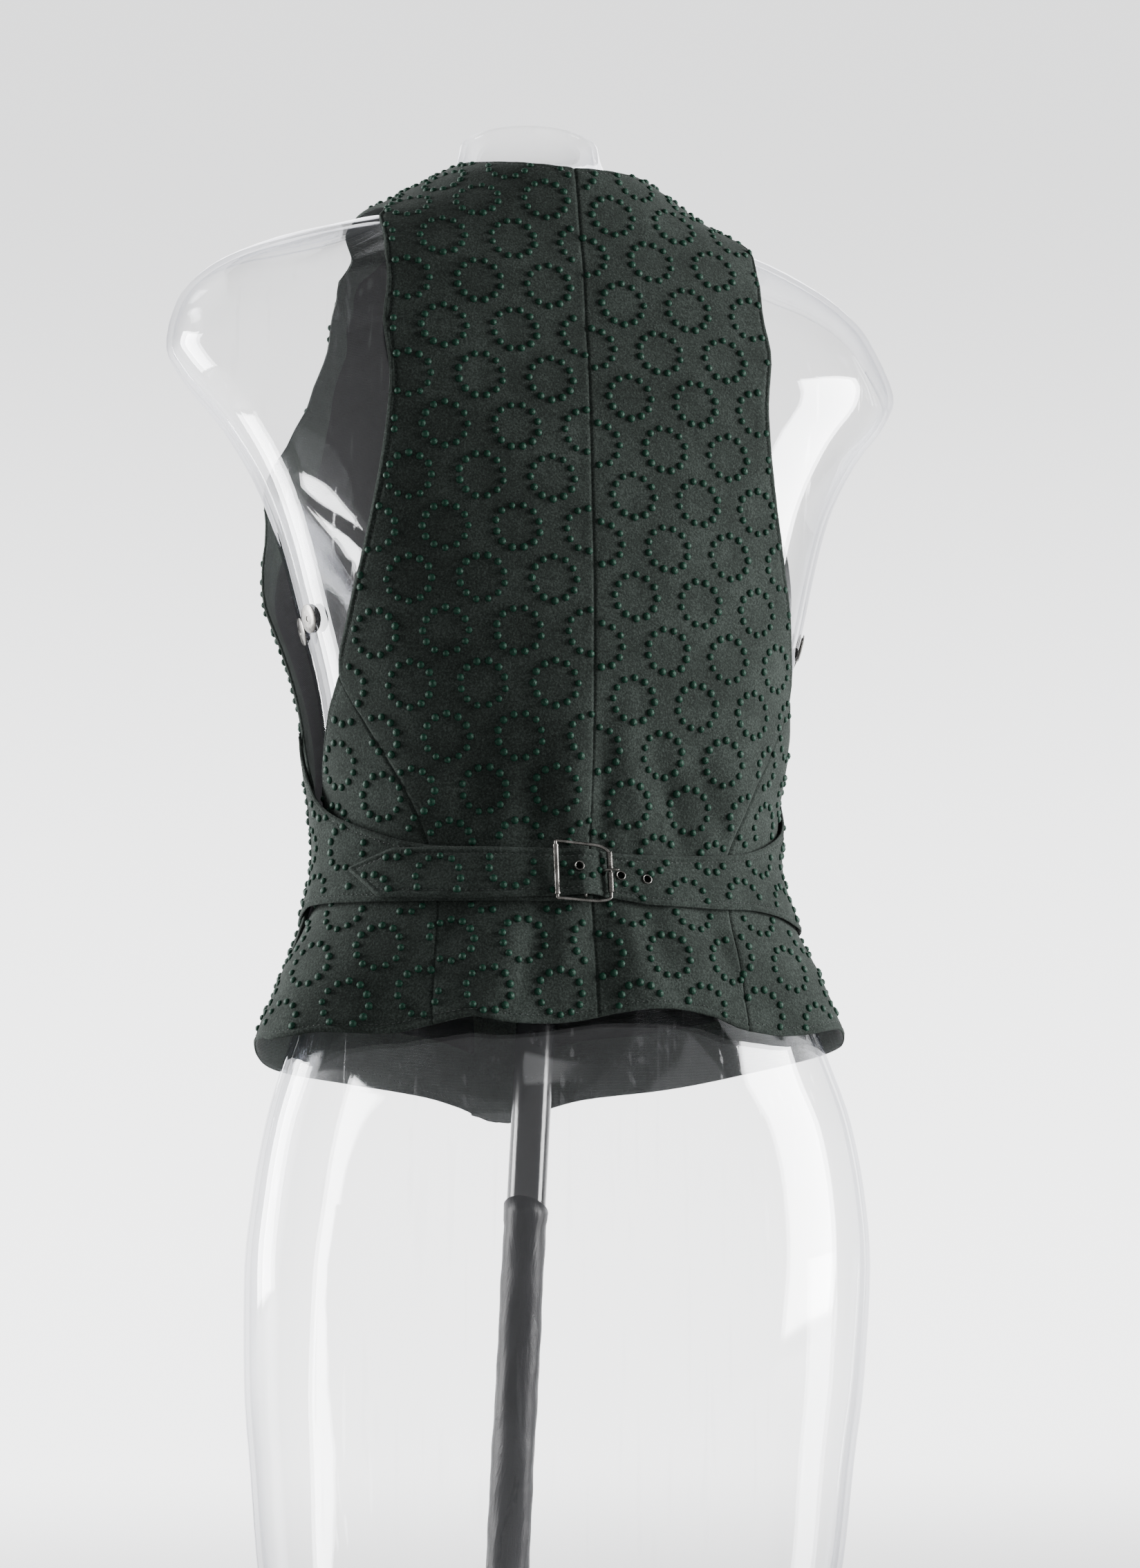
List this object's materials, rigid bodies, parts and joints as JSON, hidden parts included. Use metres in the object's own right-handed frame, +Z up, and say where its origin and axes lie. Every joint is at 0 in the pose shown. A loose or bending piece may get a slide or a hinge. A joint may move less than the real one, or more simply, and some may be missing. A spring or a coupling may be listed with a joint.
{
  "type": "waistcoat on a dress form",
  "caption": "Sleeveless fitted waistcoat with a buckled half belt across the back waist, on a clear limbless dress form with a leaning pole and round base.",
  "frame": {"origin": "centre of the round base's underside", "axes": "+Z up; the wearer's front faces -Y; the wearer's left is +X"},
  "size_m": [0.436, 0.3, 0.9458],
  "materials": {
    "felt": "dark green-black napped wool cloth",
    "nickel": "nickel-plated, soft shine",
    "horn": "dark, satin",
    "clear_shell": "clear rigid plastic, glossy",
    "black_metal": "black, semi-gloss"
  },
  "bodies": {
    "root": {"back_left": "felt", "back_right": "felt", "side_back_left": "felt", "side_back_right": "felt", "front_left": "felt", "front_right": "felt", "half_belt_left": "felt", "half_belt_right": "felt", "buckle_frame": "nickel", "buckle_roller": "nickel", "buckle_coil": "nickel", "buckle_bar": "nickel", "buckle_prong": "nickel", "eyelet_1": "nickel", "eyelet_2": "nickel", "eyelet_3": "nickel", "button_1": "horn", "button_2": "horn", "button_3": "horn", "button_4": "horn", "button_5": "horn", "dress_form": "clear_shell", "rivet_left_1": "nickel", "rivet_left_2": "nickel", "rivet_right_1": "nickel", "rivet_right_2": "nickel", "neck_plate": "black_metal", "stand_base": "black_metal", "stand_pole": "black_metal", "pole_collar": "black_metal"}
  },
  "joints": []
}
